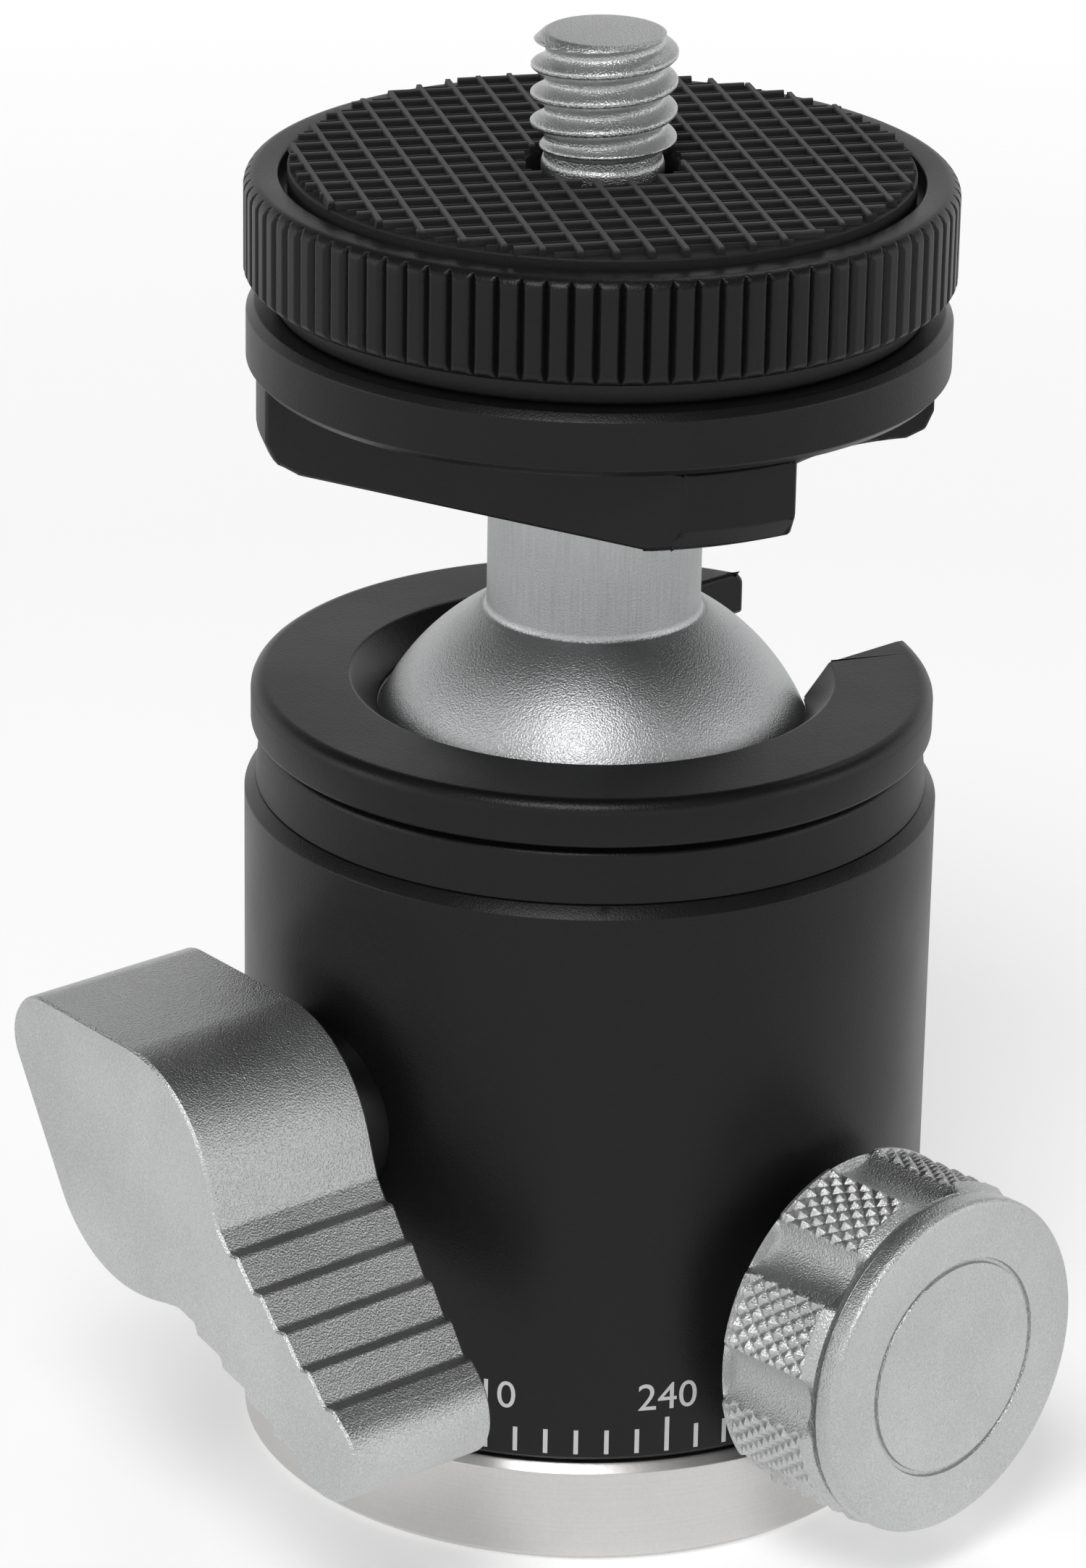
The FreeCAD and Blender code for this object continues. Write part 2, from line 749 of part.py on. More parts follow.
def joint_screw_holes(name):
    """Holes for the joint screws, with counterbores in the disc's top."""
    holes = []
    for index, place in joint_screw_places():
        head_bottom = disc_top - joint_head_height - running_fit
        depth = disc_bottom - joint_screw_depth - loose_gap
        head = cylinder(f"{name}_counterbore_{index}", joint_head_radius + running_fit, head_bottom,
                        disc_top + loose_gap)
        shank = cylinder(f"{name}_hole_{index}", joint_screw_radius + running_fit, depth, head_bottom)
        hole = fused(f"{name}_joint_{index}", [head, shank])
        hole.Placement.Base = place
        holes.append(hole)
    return fused(name + "_joints", holes)


def platform_disc():
    """The smooth fixed disc on the block."""
    head_recess = disc_bottom + screw_head_height
    blank = turned("disc_blank", [
        (screw_head_radius + running_fit, disc_bottom),
        (disc_radius - disc_edge, disc_bottom),
        (disc_radius, disc_bottom + disc_edge),
        (disc_radius, disc_top - disc_edge),
        (disc_radius - disc_edge, disc_top),
        (screw_radius + running_fit, disc_top),
        (screw_radius + running_fit, head_recess),
        (screw_head_radius + running_fit, head_recess),
    ])
    return cut("disc_cut", blank, joint_screw_holes("disc"))


def camera_screw():
    """The camera screw: a flat head in the disc, a shank and the bare thread above the pad."""
    head_top = disc_bottom + screw_head_height
    shank_radius = screw_radius - shank_relief
    return turned("screw_blank", [
        (0, disc_bottom),
        (screw_head_radius, disc_bottom),
        (screw_head_radius, head_top),
        (shank_radius, head_top),
        (shank_radius, thread_bottom),
        (screw_radius, thread_bottom),
        (screw_radius, screw_top - screw_edge),
        (screw_radius - screw_edge, screw_top),
        (0, screw_top),
    ])


def knurled_blank(radius, bottom, top):
    """A prism with straight V grooves round its rim."""
    step = 2 * math.pi / KNURL_COUNT
    land = step * LAND_SHARE / 2
    corners = []
    for index in range(KNURL_COUNT):
        middle = step * index
        for turn, reach in ((middle - land, radius), (middle + land, radius),
                            (middle + step / 2, radius - knurl_depth.value)):
            corners.append(Vector(reach * math.cos(turn), reach * math.sin(turn), bottom))
    outline = Part.makePolygon(corners + corners[:1])
    item = doc.addObject("Part::Feature", "wheel_knurl")
    item.Shape = Part.Face(outline).extrude(UP * (top - bottom))
    return item


def lock_wheel():
    """The knurled wheel that is screwed up against the camera."""
    blank = turned("wheel_blank", [
        (screw_radius + running_fit, wheel_bottom),
        (wheel_radius - wheel_edge, wheel_bottom),
        (wheel_radius, wheel_bottom + wheel_edge),
        (wheel_radius, wheel_top - wheel_edge),
        (wheel_radius - wheel_edge, wheel_top),
        (pad_recess_radius, wheel_top),
        (pad_recess_radius, pad_bottom),
        (screw_radius + running_fit, pad_bottom),
    ])
    knurl = knurled_blank(wheel_radius.value, wheel_bottom.value, wheel_top.value)
    return common("wheel_common", blank, knurl)


# Every node: its name and the object that makes it
NODES = {
    "panning_base": panning_base(),
    "thread_bushing": thread_bushing(),
    "pan_washer": ring("pan_washer_ring", spindle_radius + loose_gap, pan_washer_radius,
                       base_height, base_height + washer_thickness),
    "pivot_bearing": pivot_bearing(),
    "retaining_washer": ring("keeper_ring", spindle_radius + running_fit, keeper_radius,
                             floor_top, clip_bottom),
    "pivot_circlip": pivot_clip(),
    "housing": housing(),
    "collar_cap": collar_cap(),
    "cap_set_screw": cap_set_screw(),
    "upper_ball_seat": upper_seat(),
    "ball_cup": ball_cup(),
    "pressure_ring": pressure_ring(),
    "lift_spring": lift_spring(),
    "ball_stem": ball_stem(),
    "lock_lever": lock_lever(),
    "lock_screw": lock_screw(),
    "lock_boss": side_boss("lock_boss", boss_radius, lock_screw_radius, lever_start - running_fit,
                           lock_azimuth, lock_height),
    "pan_knob": pan_knob(),
    "pan_lock_screw": pan_screw(),
    "pan_lock_collar": side_boss("pan_collar", pan_collar_radius, pan_screw_radius,
                                 pan_knob_start - running_fit, pan_azimuth, pan_height),
    "pan_shoe": pan_shoe(),
    "stem_block": stem_block(),
    "platform_disc": platform_disc(),
    "joint_screws": joint_screws(),
    "camera_screw": camera_screw(),
    "spacer_washer": ring("spacer_ring", screw_radius + loose_gap, spacer_radius, disc_top,
                          wheel_bottom),
    "lock_wheel": lock_wheel(),
    "rubber_pad": ring("pad_ring", pad_hole_radius, pad_radius, pad_bottom, wheel_top + pad_proud),
}

for label, node in NODES.items():
    node.Label = label

doc.recompute()

for item in doc.Objects:
    if "Invalid" in item.State or "Error" in item.State:
        raise RuntimeError(f"{item.Label}: {item.State}")

for item in cut.made:
    if item.Base.Shape.Volume - item.Shape.Volume < LEAST_CUT:
        raise RuntimeError(f"{item.Label} takes nothing away")

os.makedirs("parts", exist_ok=True)
for label, node in NODES.items():
    shape = node.Shape
    if shape.isNull() or not shape.isValid() or not shape.Solids:
        raise RuntimeError(f"{label} has no valid solid")
    shape.exportStep(f"parts/{label}.step")
    print(label, len(shape.Solids), round(shape.Volume, 2))
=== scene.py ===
import math
import random

import bmesh
import bpy
import numpy as np
from mathutils import Matrix, Vector


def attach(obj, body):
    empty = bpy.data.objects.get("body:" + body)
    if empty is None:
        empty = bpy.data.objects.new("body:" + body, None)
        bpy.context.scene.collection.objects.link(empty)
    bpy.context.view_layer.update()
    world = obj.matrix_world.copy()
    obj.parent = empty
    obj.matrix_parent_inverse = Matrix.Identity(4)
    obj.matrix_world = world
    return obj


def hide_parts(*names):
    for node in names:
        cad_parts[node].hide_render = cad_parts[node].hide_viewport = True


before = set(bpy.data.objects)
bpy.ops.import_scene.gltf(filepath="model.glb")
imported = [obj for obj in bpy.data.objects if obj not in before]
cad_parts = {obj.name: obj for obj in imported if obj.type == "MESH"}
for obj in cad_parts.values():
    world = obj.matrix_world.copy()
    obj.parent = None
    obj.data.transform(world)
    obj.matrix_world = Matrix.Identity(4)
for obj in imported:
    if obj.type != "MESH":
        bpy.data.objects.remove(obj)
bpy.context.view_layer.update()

MM = 0.001
TURN = 2 * math.pi
UP = Vector((0, 0, 1))
ORIGIN = Vector((0, 0, 0))
draw = random.Random(11)

# Radii that several pieces share, in millimetres
BODY_RADIUS = 15.5
CAVITY_RADIUS = 12.8
BALL_RADIUS = 10.5
STEM_RADIUS = 4.75
TENON_RADIUS = 3.5
TOP_BORE = 3.225

# Heights above the ground that several pieces share, in millimetres
BALL_HEIGHT = 30.4
SHELL_TOP = 31.6
STEM_FOOT = 40.0
BLOCK_FOOT = 47.2
DISC_FOOT = 51
DISC_TOP = 53.8
WHEEL_FOOT = 55.0
PAD_FOOT = 58.7
SCREW_TOP = 65.9

# Pitch of the 1/4 inch thread, and the rounding of most turned edges
THREAD_PITCH = 1.27
FINE = 0.12

# Height between the rows of a thread's or a knurl's points, and how nearly rounding uses up a side
ROW = 0.07
NEAR_HALF = 0.49


def direction(azimuth, elevation=0.0):
    """The unit vector at that plan azimuth and elevation, in degrees."""
    a, e = math.radians(azimuth), math.radians(elevation)
    return Vector((math.cos(a) * math.cos(e), math.sin(a) * math.cos(e), math.sin(e)))


# Materials

BRUSHING = (39.7, STEM_FOOT)
BRUSHING_RADIUS = 4.7
BRUSHED_SHARE = 0.65
BRUSHED_STRETCH = 0.03
LINE_GRAIN = 0.8
LINE_SHARE = 0.55
FINE_SHARE = 0.6
BROAD_GRAIN = 7.0
ROUGH_SPREAD = 0.04
NOISE_RANGE = (0.3, 0.7)
# Heights in millimetres over which the rubber ridges' tops blend to a painted highlight
PAINTED_RIDGE_HIGHLIGHT = (60.15, 60.28)


def add(tree, kind, values=None, **settings):
    """A node with its settings, and its inputs set to numbers or linked to sockets."""
    node = tree.nodes.new(kind)
    for key, value in settings.items():
        setattr(node, key, value)
    for key, value in (values or {}).items():
        if isinstance(value, bpy.types.NodeSocket):
            tree.links.new(value, node.inputs[key])
        else:
            node.inputs[key].default_value = value
    return node


def noise(tree, vector, grain, detail=2.0):
    """Fine noise whose features are about grain millimetres wide."""
    values = {"Vector": vector, "Scale": 1 / MM / grain, "Detail": detail}
    return add(tree, "ShaderNodeTexNoise", values).outputs[0]


def maths(tree, operation, first, second=0.5, third=0.5, clamp=False):
    """One step of arithmetic."""
    values = {0: first, 1: second, 2: third}
    return add(tree, "ShaderNodeMath", values, operation=operation, use_clamp=clamp).outputs[0]


def remap(tree, value, low, high, new_low, new_high):
    """The value's range low to high, stretched to another and held inside it."""
    values = {"Value": value, "From Min": low, "From Max": high, "To Min": new_low, "To Max": new_high}
    return add(tree, "ShaderNodeMapRange", values).outputs[0]


def blend_colour(tree, share, first, second):
    """The first colour at share 0 and the second at share 1."""
    values = {0: share, 6: first, 7: second}
    return add(tree, "ShaderNodeMix", values, data_type="RGBA").outputs[2]


def grey(value, warmth=0.0):
    """A near-neutral colour, warmer above 0 and cooler below."""
    return (value * (1 + warmth), value, value * (1 - warmth), 1)


def split(tree, place):
    """The x, y and z of a place."""
    return add(tree, "ShaderNodeSeparateXYZ", {0: place}).outputs


def around(tree, place):
    """Coordinates that wrap round the stem: metres along the turn, and a squeezed height."""
    parts = split(tree, place)
    turn = maths(tree, "ARCTAN2", parts[1], parts[0])
    along = maths(tree, "MULTIPLY", turn, BRUSHING_RADIUS * MM)
    height = maths(tree, "MULTIPLY", parts[2], BRUSHED_STRETCH)
    return add(tree, "ShaderNodeCombineXYZ", {0: along, 1: height}).outputs[0]


def rings(tree, place):
    """Coordinates that change only with radius and height, for a lathe's fine turning marks."""
    parts = split(tree, place)
    flat = add(tree, "ShaderNodeCombineXYZ", {0: parts[0], 1: parts[1]}).outputs[0]
    radius = add(tree, "ShaderNodeVectorMath", {0: flat}, operation="LENGTH").outputs["Value"]
    return add(tree, "ShaderNodeCombineXYZ", {0: radius, 1: parts[2]}).outputs[0]


def surface(name, dark, light, rough, grain, depth, metallic=1.0, specular=0.5, marks=None):
    """A finish whose colour, roughness and height follow fine grain and slow variation."""
    material = bpy.data.materials.new(name)
    material.use_nodes = True
    tree = material.node_tree
    shader = tree.nodes["Principled BSDF"]
    place = add(tree, "ShaderNodeTexCoord").outputs["Object"]
    fine = noise(tree, place, grain)
    if marks == "turned":
        lines = noise(tree, rings(tree, place), grain * LINE_GRAIN)
        rest = maths(tree, "MULTIPLY", fine, 1 - LINE_SHARE)
        fine = maths(tree, "MULTIPLY_ADD", lines, LINE_SHARE, rest)
    if marks == "brushed stem":
        lines = noise(tree, around(tree, place), grain)
        share = remap(tree, split(tree, place)[2], BRUSHING[0] * MM, BRUSHING[1] * MM, 0, BRUSHED_SHARE)
        fine = maths(tree, "MULTIPLY_ADD", share, maths(tree, "SUBTRACT", lines, fine), fine)
    broad = noise(tree, place, BROAD_GRAIN, 3.0)
    slow = maths(tree, "MULTIPLY", broad, 1 - FINE_SHARE)
    tone = maths(tree, "MULTIPLY_ADD", fine, FINE_SHARE, slow)
    share = remap(tree, tone, *NOISE_RANGE, 0, 1)
    tree.links.new(blend_colour(tree, share, dark, light), shader.inputs["Base Color"])
    roughness = remap(tree, broad, *NOISE_RANGE, rough - ROUGH_SPREAD, rough + ROUGH_SPREAD)
    tree.links.new(roughness, shader.inputs["Roughness"])
    bump = add(tree, "ShaderNodeBump", {"Height": fine, "Distance": depth * MM, "Strength": 1.0})
    tree.links.new(bump.outputs[0], shader.inputs["Normal"])
    shader.inputs["Metallic"].default_value = metallic
    shader.inputs["Specular IOR Level"].default_value = specular
    return material


def rubber_surface():
    """Matt black rubber, a little greyer on top of its ridges as a painted highlight."""
    material = surface("rubber", grey(0.008), grey(0.014), 0.62, 0.12, 0.012, 0.0, 0.3)
    tree = material.node_tree
    shader = tree.nodes["Principled BSDF"]
    under = shader.inputs["Base Color"].links[0].from_socket
    place = add(tree, "ShaderNodeTexCoord").outputs["Object"]
    # Painted highlight: the colour blends to light grey towards the ridge tops, standing in for light
    # falling on them
    share = remap(tree, split(tree, place)[2], PAINTED_RIDGE_HIGHLIGHT[0] * MM, PAINTED_RIDGE_HIGHLIGHT[1] * MM, 0, 1)
    tree.links.new(blend_colour(tree, share, under, grey(0.075)), shader.inputs["Base Color"])
    return material


FINISH = {
    "black_anodised": surface(
        "black_anodised", grey(0.004), grey(0.008),
        rough=0.36, grain=0.09, depth=0.012, metallic=0.0, specular=0.26,
    ),
    "blasted_aluminium": surface(
        "blasted_aluminium", grey(0.42, -0.006), grey(0.64, -0.006),
        rough=0.36, grain=0.085, depth=0.045,
    ),
    "turned_aluminium": surface(
        "turned_aluminium", grey(0.56, 0.012), grey(0.66, 0.012),
        rough=0.36, grain=0.16, depth=0.008, marks="turned",
    ),
    "brass": surface(
        "brass", (0.56, 0.38, 0.13, 1), (0.72, 0.52, 0.21, 1),
        rough=0.3, grain=0.2, depth=0.006, marks="turned",
    ),
    "black_plastic": surface(
        "black_plastic", grey(0.010), grey(0.016),
        rough=0.45, grain=0.25, depth=0.01, metallic=0.0, specular=0.3,
    ),
    "rubber": rubber_surface(),
    "ball": surface(
        "ball_aluminium", grey(0.40, -0.012), grey(0.58, -0.012),
        rough=0.41, grain=0.085, depth=0.032, marks="brushed stem",
    ),
    "paint": surface(
        "white_paint", grey(0.68), grey(0.80),
        rough=0.55, grain=0.1, depth=0.006, metallic=0.0, specular=0.3,
    ),
}

# Meshes

SAME_PLACE = 1e-7
SLIVER = 2e-5
CRISP_ANGLE = 40


def arc(across, height, radius, start, end, count):
    """Points along an arc about (across, height), from one angle to the other, in radians."""
    turns = np.linspace(start, end, count)
    return [(across + radius * math.cos(t), height + radius * math.sin(t)) for t in turns]


def circle(radius, count):
    """Points round a full circle."""
    return arc(0, 0, radius, 0, TURN, count + 1)[:-1]


def rounded(corners, steps=4):
    """The profile with each corner that gives a third number rounded to that radius."""
    points = []
    for index, corner in enumerate(corners):
        here = Vector(corner[:2])
        if len(corner) < 3:
            points.append(tuple(here))
            continue
        before = Vector(corners[index - 1][:2]) - here
        after = Vector(corners[(index + 1) % len(corners)][:2]) - here
        half = before.angle(after) / 2
        reach = min(corner[2] / math.tan(half), before.length * NEAR_HALF, after.length * NEAR_HALF)
        before, after = before.normalized(), after.normalized()
        middle = here + (before + after).normalized() * (reach / math.cos(half))
        start, end = here + before * reach - middle, here + after * reach - middle
        sweep = start.angle(end)
        for step in range(steps + 1):
            share = step / steps
            spoke = start * math.sin((1 - share) * sweep) + end * math.sin(share * sweep)
            points.append(tuple(middle + spoke / math.sin(sweep)))
    return points


def band(low, high, count):
    """The faces between two rings of count points whose first points have those numbers."""
    return [(low + i, low + (i + 1) % count, high + (i + 1) % count, high + i) for i in range(count)]


def lathe(profile, count=256, shape=None, axes=None, at=ORIGIN):
    """Points and faces of a profile of (radius, height) turned round Z, or round the last of the axes."""
    turns = np.arange(count) * TURN / count
    rows = []
    for radius, height in profile:
        ring = np.full(count, radius) if shape is None else shape(turns, radius, height)
        rows.append(np.column_stack((ring * np.cos(turns), ring * np.sin(turns), np.full(count, height))))
    points = np.concatenate(rows)
    if axes:
        points = points @ np.array([list(axis) for axis in axes]) + np.array(at)
    closed = profile[0][0] > 0 or profile[-1][0] > 0
    faces = []
    for row in range(len(profile) - (0 if closed else 1)):
        faces += band(row * count, (row + 1) % len(profile) * count, count)
    return points, faces


def stack(outlines):
    """Points and faces of rings of equal length, joined in order and closed at both ends."""
    count = len(outlines[0])
    points = [point for outline in outlines for point in outline]
    faces = [tuple(range(count)), tuple(range(len(points) - count, len(points)))]
    for row in range(len(outlines) - 1):
        faces += band(row * count, (row + 1) * count, count)
    return points, faces


def append(points, faces, block, sides):
    """Adds a block's points and faces to those of the mesh so far."""
    faces += [tuple(i + len(points) for i in side) for side in sides]
    points += block


def make(name, points, faces):
    """A mesh object from points in millimetres, with doubled points joined and faces turned outward."""
    mesh = bpy.data.meshes.new(name)
    mesh.from_pydata((np.array([tuple(p) for p in points]) * MM).tolist(), [], faces)
    work = bmesh.new()
    work.from_mesh(mesh)
    bmesh.ops.remove_doubles(work, verts=work.verts, dist=SAME_PLACE)
    bmesh.ops.recalc_face_normals(work, faces=work.faces)
    work.to_mesh(mesh)
    work.free()
    made = bpy.data.objects.new(name, mesh)
    bpy.context.scene.collection.objects.link(made)
    return made


def cut(piece, *cutters):
    """The piece with the cutters taken away and the slivers that this leaves joined up."""
    for cutter in cutters:
        change = piece.modifiers.new("cut", "BOOLEAN")
        change.operation, change.solver, change.object = "DIFFERENCE", "EXACT", cutter
    graph = bpy.context.evaluated_depsgraph_get()
    mesh = bpy.data.meshes.new_from_object(piece.evaluated_get(graph))
    work = bmesh.new()
    work.from_mesh(mesh)
    bmesh.ops.remove_doubles(work, verts=work.verts, dist=SLIVER)
    work.to_mesh(mesh)
    work.free()
    piece.modifiers.clear()
    piece.data = mesh
    for cutter in cutters:
        bpy.data.objects.remove(cutter)
    return piece


def soften(piece, width):
    """A small rounded bevel along the piece's crisp edges."""
    edge = piece.modifiers.new("edge", "BEVEL")
    edge.width, edge.segments, edge.limit_method = width * MM, 2, "ANGLE"
    edge.angle_limit, edge.use_clamp_overlap = math.radians(CRISP_ANGLE), False
    return piece


def settle(piece, body, slot, nodes=(), finish=None, sharp=34):
    """Smooth shading, the finish, and the body, slot and CAD nodes that the piece belongs to."""
    piece.data.polygons.foreach_set("use_smooth", [True] * len(piece.data.polygons))
    piece.data.set_sharp_from_angle(angle=math.radians(sharp))
    even = piece.modifiers.new("even", "WEIGHTED_NORMAL")
    even.keep_sharp = True
    piece.data.materials.clear()
    piece.data.materials.append(FINISH[finish or slot])
    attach(piece, body)
    if nodes:
        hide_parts(*nodes)
    return piece


def prism(name, outline, across, along, start, end, at=ORIGIN, rise=UP):
    """A straight solid: an outline in the plane of across and rise, run along from start to end."""
    flat = [Vector(at) + across * x + rise * y for x, y in outline]
    return make(name, *stack([[p + along * start for p in flat], [p + along * end for p in flat]]))


def zigzag(steps):
    """1 at each whole number and 0 halfway between, in straight lines."""
    return np.abs(np.mod(steps, 1) - 0.5) * 2


def thread_steps(turns, height, shift=0.0):
    """Steps along a right-hand thread: 1 more for each pitch of height or turn back."""
    return height / THREAD_PITCH - turns / TURN + shift


# Foot

SOCKET_RADIUS = 4.7625
SOCKET_TOP = 9
BASE_TOP = 4.8
BASE_EDGE = 0.4
SPINDLE_RADIUS = 8
SPINDLE_TOP = 16.9
BASE_PROFILE = rounded([
    (0, SOCKET_TOP), (SOCKET_RADIUS, SOCKET_TOP), (SOCKET_RADIUS, 0, 0.2),
    (BODY_RADIUS - BASE_EDGE, 0, FINE), (BODY_RADIUS, BASE_EDGE, FINE),
    (BODY_RADIUS, BASE_TOP - BASE_EDGE, FINE), (BODY_RADIUS - BASE_EDGE, BASE_TOP, FINE),
    (SPINDLE_RADIUS, BASE_TOP), (SPINDLE_RADIUS, SPINDLE_TOP, 0.4), (0, SPINDLE_TOP),
])
settle(make("turned_base", *lathe(BASE_PROFILE)), "foot", "turned_aluminium", ["panning_base"])

BUSH_RADIUS = 4.7
BUSH_BORE = 3.2
BUSH_MOUTH = 3.55
BUSH_EDGE = 0.15
BUSH_LEAD = 0.34
BUSH_TOP = 7.5
BORE_ROWS = 103
GROOVE_DEPTH = 0.5
GROOVE_FLAT = 1.15
GROOVE_SLOPE = 1.6


def socket_thread(turns, radius, height):
    """The bushing's bore with the grooves of its inner thread."""
    if radius > BUSH_BORE + 0.1 or not BUSH_LEAD + 0.01 < height < BUSH_TOP - 0.3:
        return np.full(len(turns), radius)
    share = GROOVE_FLAT - GROOVE_SLOPE * zigzag(thread_steps(turns, height))
    return radius + GROOVE_DEPTH * np.clip(share, 0, 1)


bore = [(BUSH_BORE, BUSH_TOP - ROW * row) for row in range(BORE_ROWS)]
BUSHING_PROFILE = [
    (BUSH_MOUTH, 0.0), (BUSH_RADIUS - BUSH_EDGE, 0.0), (BUSH_RADIUS, BUSH_EDGE), (BUSH_RADIUS, BUSH_TOP),
] + bore + [(BUSH_BORE, BUSH_LEAD)]
bushing = make("threaded_bushing", *lathe(BUSHING_PROFILE, 160, socket_thread))
settle(bushing, "foot", "brass", ["thread_bushing"])

# Body

NOTCH_AZIMUTH = 40
NOTCH_RADIUS = 5.45
NOTCH_TOP = 42
NOTCH_REACH = (0.5, 20)


def notch(name):
    """The drop notch: a round-bottomed slot from the ball's centre out through the wall."""
    bottom = arc(0, BALL_HEIGHT, NOTCH_RADIUS, math.pi, TURN, 33)
    outline = bottom + [(NOTCH_RADIUS, NOTCH_TOP), (-NOTCH_RADIUS, NOTCH_TOP)]
    return prism(name, outline, direction(NOTCH_AZIMUTH + 90), direction(NOTCH_AZIMUTH), *NOTCH_REACH)


HOUSING_RADIUS = 15.485
HOUSING_FOOT = 5.0
HOUSING_BORE = 8.95
RECESS_RADIUS = 13.9
RECESS_TOP = 5.6
CAVITY_FLOOR = 15.2
SKIRT_BORE = 14.05
SKIRT_FLOOR = 27.4
HOUSING_PROFILE = rounded([
    (HOUSING_BORE, RECESS_TOP), (RECESS_RADIUS, RECESS_TOP), (RECESS_RADIUS, HOUSING_FOOT),
    (15.2, HOUSING_FOOT, 0.1), (HOUSING_RADIUS, 5.25, 0.1), (HOUSING_RADIUS, 31.1, FINE),
    (15.0, SHELL_TOP, 0.1), (SKIRT_BORE, SHELL_TOP), (SKIRT_BORE, SKIRT_FLOOR),
    (CAVITY_RADIUS, SKIRT_FLOOR), (CAVITY_RADIUS, CAVITY_FLOOR), (HOUSING_BORE, CAVITY_FLOOR),
])
housing = cut(make("black_housing", *lathe(HOUSING_PROFILE)), notch("housing_notch"))
settle(soften(housing, 0.16), "body", "black_anodised", ["housing"])

SKIRT_RADIUS = 14.0
SKIRT_FOOT = 27.45
WAIST_RADIUS = 14.4
FLANGE_RADIUS = 15.2
FLANGE_FOOT = 34.3
FLANGE_TOP = 36.4
SEAT_RADIUS = 12.05
SEAT_FOOT = 31.85
SEAT_TOP = 34.75
COLLAR_PROFILE = rounded([
    (CAVITY_RADIUS, SKIRT_FOOT), (SKIRT_RADIUS, SKIRT_FOOT), (SKIRT_RADIUS, SHELL_TOP),
    (15.0, SHELL_TOP, 0.1), (14.8, 33.85, 0.35), (WAIST_RADIUS, 34.1, 0.08),
    (WAIST_RADIUS, FLANGE_FOOT, 0.05), (FLANGE_RADIUS, FLANGE_FOOT, 0.18),
    (FLANGE_RADIUS, FLANGE_TOP, 0.65), (10.8, FLANGE_TOP, 0.25),
    (9.5, 35.05, FINE), (9.9, SEAT_TOP), (SEAT_RADIUS, SEAT_TOP), (SEAT_RADIUS, SEAT_FOOT),
    (CAVITY_RADIUS, SEAT_FOOT),
], 6)
collar = cut(make("collar_flange", *lathe(COLLAR_PROFILE)), notch("collar_notch"))
settle(soften(collar, 0.2), "body", "black_anodised", ["collar_cap"])

# Degree scale: the paint's inner and outer radius, the azimuth of its zero, and its heights

SKIN = (15.47, 15.4995)
ZERO = 43.4
LINE_WIDTH = 0.2
LINE_FOOT = 5.42
LINE_TOP = 6.6
LONG_LINE_TOP = 7.1
NUMERAL_FOOT = 7.5
NUMERAL_HEIGHT = 1.3
LINE_EVERY = 5
NUMERAL_EVERY = 30


def on_wall(radius, azimuth, height):
    """The point at that radius, azimuth in radians and height."""
    return (radius * math.cos(azimuth), radius * math.sin(azimuth), height)


def scale_marks():
    """A painted line every 5 degrees, longer every 30, each a thin shell bent on the wall."""
    points, faces = [], []
    half = LINE_WIDTH / 2 / SKIN[1]
    for value in range(0, 360, LINE_EVERY):
        azimuth = math.radians(value + ZERO)
        top = LINE_TOP if value % NUMERAL_EVERY else LONG_LINE_TOP
        corners = ((-half, LINE_FOOT), (half, LINE_FOOT), (half, top), (-half, top))
        shell = [[on_wall(radius, azimuth + a, z) for a, z in corners] for radius in SKIN]
        append(points, faces, *stack(shell))
    return make("scale_marks", points, faces)


def scale_numerals():
    """Plain numbers every 30 degrees, bent on the wall."""
    points, faces = [], []
    for value in range(0, 360, NUMERAL_EVERY):
        curve = bpy.data.curves.new("numeral", "FONT")
        curve.body, curve.align_x, curve.extrude, curve.resolution_u = str(value), "CENTER", 0.1, 5
        text = bpy.data.objects.new("numeral", curve)
        bpy.context.scene.collection.objects.link(text)
        graph = bpy.context.evaluated_depsgraph_get()
        mesh = bpy.data.meshes.new_from_object(text.evaluated_get(graph))
        low = min(v.co.y for v in mesh.vertices)
        rise = max(v.co.y for v in mesh.vertices) - low
        block = []
        for v in mesh.vertices:
            azimuth = math.radians(value + ZERO) + v.co.x * NUMERAL_HEIGHT / rise / SKIN[1]
            height = NUMERAL_FOOT + (v.co.y - low) * NUMERAL_HEIGHT / rise
            block.append(on_wall(SKIN[1] if v.co.z > 0 else SKIN[0], azimuth, height))
        append(points, faces, block, [f.vertices for f in mesh.polygons])
        bpy.data.objects.remove(text)
    return make("scale_numerals", points, faces)


for marks in (scale_marks(), scale_numerals()):
    settle(marks, "body", "black_anodised", (), "paint")

# Lever knob: x along its tail, y across it, and reach along its own axis from the body's

TAIL_END = 16.0
TIP_RADIUS = 2.1
TAIL_FLARE = 0.9
FLARE_LENGTH = 11.04
HUB_RADIUS = 5.8
FILLET_SHARPNESS = 1.5
FILLET_START = 1
FILLET_LENGTH = 3
EAR_END = -7.23
EAR_RADIUS = 2.2
EAR_ANGLE = math.radians(119.1)
STEP = 0.05
RIB_START = 15.2
RIB_PITCH = 2.0
RIB_COUNT = 5
RIB_DEPTH = 0.38
RIB_RISE = 0.16
LEVER_BACK = 17.0
LEVER_FRONT = 25.75
LEVER_RINGS = [(LEVER_BACK, 0.10), (17.12, 0.0), (21.5, 0.0), (25.62, 0.0), (LEVER_FRONT, 0.10)]
THIN_START = 5.5
THIN_LENGTH = 12
TIP_THINNING = 1.4
LEVER_AZIMUTH = 219
LEVER_SLOPE = -30
LEVER_HEIGHT = 19.5


def saw(x):
    """Depth of the lever's rib steps at that distance along its tail."""
    share = (RIB_START - x) / RIB_PITCH
    if share < 0 or share > RIB_COUNT:
        return 0.0
    part = share % 1
    return -RIB_DEPTH * (part / RIB_RISE if part < RIB_RISE else (1 - part) / (1 - RIB_RISE))


